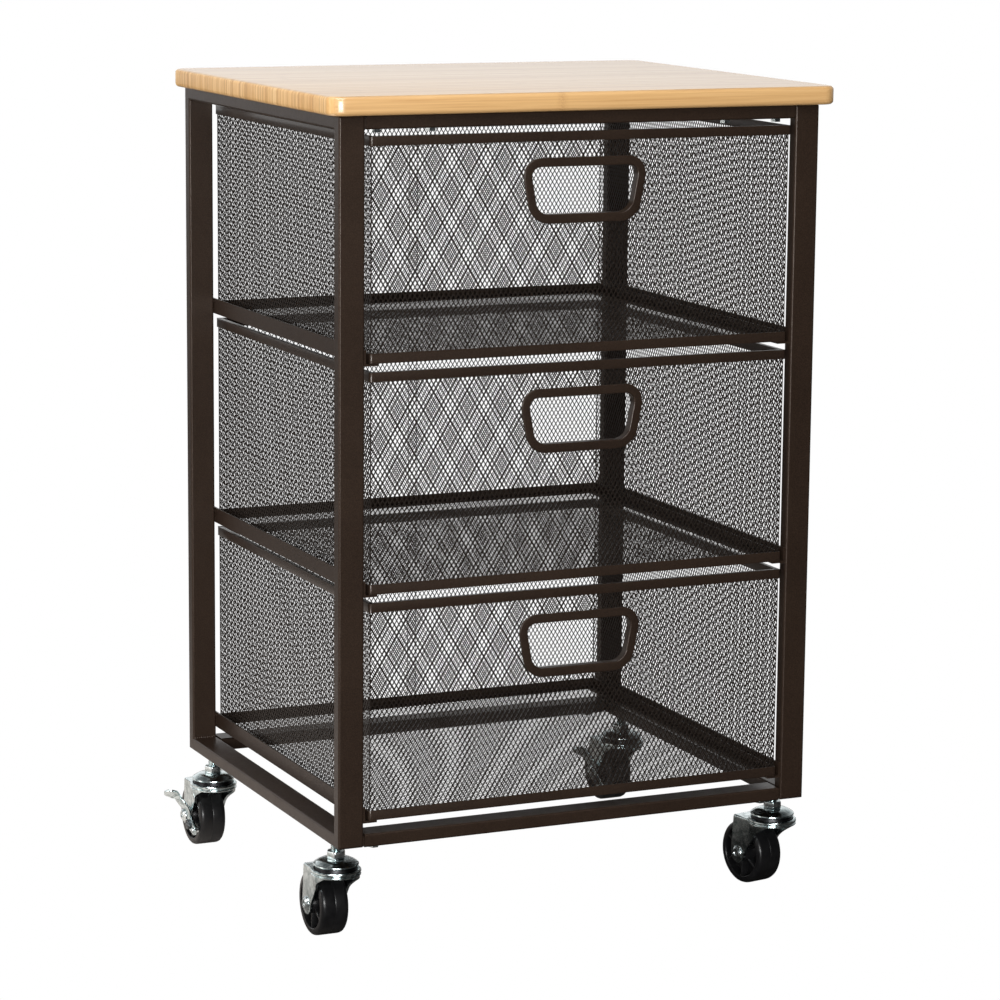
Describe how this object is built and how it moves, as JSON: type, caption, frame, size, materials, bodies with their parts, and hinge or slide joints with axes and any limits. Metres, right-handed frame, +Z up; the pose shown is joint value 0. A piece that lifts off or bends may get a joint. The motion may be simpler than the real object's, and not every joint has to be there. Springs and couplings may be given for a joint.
{
  "type": "rolling drawer cart",
  "caption": "Rolling drawer cart with a bamboo top, a dark steel frame, sliding expanded-metal drawers with cut-out handles, and swivel casters with foot brakes at the back",
  "frame": {"origin": "centre of the whole cart's floor plan, on the floor", "axes": "+Z up, +X to the right and +Y to the back, seen from the front where the handles are"},
  "size_m": [0.4292, 0.355, 0.634],
  "materials": {
    "bamboo": "satin lacquered bamboo strips, end grain at the sides",
    "frame_brown": "satin dark brown powder coat",
    "drawer_brown": "satin dark brown powder coat",
    "mesh_brown": "satin dark brown powder coat on expanded metal",
    "zinc": "bright zinc plate",
    "bolt_zinc": "zinc plate",
    "lever_zinc": "zinc plate",
    "wheel_black": "glossy black moulding"
  },
  "bodies": {
    "frame": {"front_left_post": "frame_brown", "front_right_post": "frame_brown", "back_left_post": "frame_brown", "back_right_post": "frame_brown", "left_top_rail": "frame_brown", "right_top_rail": "frame_brown", "left_bottom_rail": "frame_brown", "right_bottom_rail": "frame_brown", "front_top_rail": "frame_brown", "back_top_rail": "frame_brown", "front_bottom_rail": "frame_brown", "back_bottom_rail": "frame_brown", "top_panel": "bamboo", "left_runner_top": "frame_brown", "right_runner_top": "frame_brown", "left_runner_middle": "frame_brown", "right_runner_middle": "frame_brown", "left_runner_bottom": "frame_brown", "right_runner_bottom": "frame_brown", "rail_screws": "bolt_zinc", "top_screws": "bolt_zinc", "caster_stems": "zinc", "caster_lock_nuts": "zinc"},
    "top_drawer": {"top_drawer_front_mesh": "mesh_brown", "top_drawer_back_mesh": "mesh_brown", "top_drawer_side_meshes": "mesh_brown", "top_drawer_floor_mesh": "mesh_brown", "top_drawer_top_rim": "drawer_brown", "top_drawer_base_rim": "drawer_brown", "top_drawer_handle": "drawer_brown"},
    "middle_drawer": {"middle_drawer_front_mesh": "mesh_brown", "middle_drawer_back_mesh": "mesh_brown", "middle_drawer_side_meshes": "mesh_brown", "middle_drawer_floor_mesh": "mesh_brown", "middle_drawer_top_rim": "drawer_brown", "middle_drawer_base_rim": "drawer_brown", "middle_drawer_handle": "drawer_brown"},
    "bottom_drawer": {"bottom_drawer_front_mesh": "mesh_brown", "bottom_drawer_back_mesh": "mesh_brown", "bottom_drawer_side_meshes": "mesh_brown", "bottom_drawer_floor_mesh": "mesh_brown", "bottom_drawer_top_rim": "drawer_brown", "bottom_drawer_base_rim": "drawer_brown", "bottom_drawer_handle": "drawer_brown"},
    "front_left_caster": {"front_left_fork": "zinc", "front_left_axle": "bolt_zinc"},
    "front_left_wheel": {"front_left_wheel": "wheel_black"},
    "front_right_caster": {"front_right_fork": "zinc", "front_right_axle": "bolt_zinc"},
    "front_right_wheel": {"front_right_wheel": "wheel_black"},
    "back_left_caster": {"back_left_fork": "zinc", "back_left_axle": "bolt_zinc"},
    "back_left_wheel": {"back_left_wheel": "wheel_black"},
    "back_left_brake": {"back_left_brake_lever": "lever_zinc"},
    "back_right_caster": {"back_right_fork": "zinc", "back_right_axle": "bolt_zinc"},
    "back_right_wheel": {"back_right_wheel": "wheel_black"},
    "back_right_brake": {"back_right_brake_lever": "lever_zinc"}
  },
  "joints": [
    {"name": "top_drawer_slide", "type": "slide", "parent": "frame", "child": "top_drawer", "axis": [0, -1, 0], "range_m": [0, 0.22]},
    {"name": "middle_drawer_slide", "type": "slide", "parent": "frame", "child": "middle_drawer", "axis": [0, -1, 0], "range_m": [0, 0.22]},
    {"name": "bottom_drawer_slide", "type": "slide", "parent": "frame", "child": "bottom_drawer", "axis": [0, -1, 0], "range_m": [0, 0.22]},
    {"name": "front_left_swivel", "type": "hinge", "parent": "frame", "child": "front_left_caster", "pos_m": [-0.17945, -0.1425, 0.08], "axis": [0, 0, 1], "continuous": true},
    {"name": "front_left_wheel_spin", "type": "hinge", "parent": "front_left_caster", "child": "front_left_wheel", "pos_m": [-0.17945, -0.1175, 0.025], "axis": [1, 0, 0], "continuous": true},
    {"name": "front_right_swivel", "type": "hinge", "parent": "frame", "child": "front_right_caster", "pos_m": [0.19055, -0.1425, 0.08], "axis": [0, 0, 1], "continuous": true},
    {"name": "front_right_wheel_spin", "type": "hinge", "parent": "front_right_caster", "child": "front_right_wheel", "pos_m": [0.18621, -0.11788, 0.025], "axis": [0.9848, 0.1736, 0], "continuous": true},
    {"name": "back_left_swivel", "type": "hinge", "parent": "frame", "child": "back_left_caster", "pos_m": [-0.17945, 0.1275, 0.08], "axis": [0, 0, 1], "continuous": true},
    {"name": "back_left_wheel_spin", "type": "hinge", "parent": "back_left_caster", "child": "back_left_wheel", "pos_m": [-0.17945, 0.1525, 0.025], "axis": [1, 0, 0], "continuous": true},
    {"name": "back_left_brake_press", "type": "hinge", "parent": "back_left_caster", "child": "back_left_brake", "pos_m": [-0.17945, 0.1525, 0.025], "axis": [1, 0, 0], "range_deg": [0, 20]},
    {"name": "back_right_swivel", "type": "hinge", "parent": "frame", "child": "back_right_caster", "pos_m": [0.19055, 0.1275, 0.08], "axis": [0, 0, 1], "continuous": true},
    {"name": "back_right_wheel_spin", "type": "hinge", "parent": "back_right_caster", "child": "back_right_wheel", "pos_m": [0.19055, 0.1525, 0.025], "axis": [1, 0, 0], "continuous": true},
    {"name": "back_right_brake_press", "type": "hinge", "parent": "back_right_caster", "child": "back_right_brake", "pos_m": [0.19055, 0.1525, 0.025], "axis": [1, 0, 0], "range_deg": [0, 20]}
  ]
}
